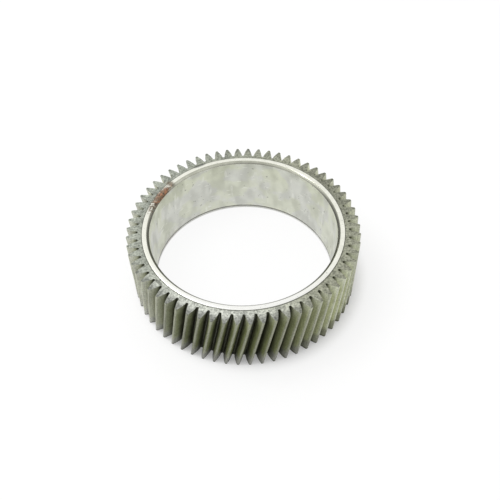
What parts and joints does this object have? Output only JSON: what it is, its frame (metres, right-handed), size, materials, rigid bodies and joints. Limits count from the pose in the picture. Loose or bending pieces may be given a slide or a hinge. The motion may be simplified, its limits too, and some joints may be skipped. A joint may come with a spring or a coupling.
{
  "type": "crankshaft gear",
  "caption": "Steel crankshaft gear: a ring with deep right-hand helical teeth outside, a plain chamfered bore and a narrow machined land round the bore at each end.",
  "frame": {"origin": "on the bore axis at the lower land, the face that the gear rests on", "axes": "+Z along the bore axis, upwards; one tooth is centred on +X at mid width"},
  "size_m": [0.1654, 0.1654, 0.05],
  "materials": {
    "gear_steel": "used machined steel, matt olive-grey teeth, bright ground lands, one rust patch"
  },
  "bodies": {
    "root": {"crankshaft_gear": "gear_steel"}
  },
  "joints": []
}
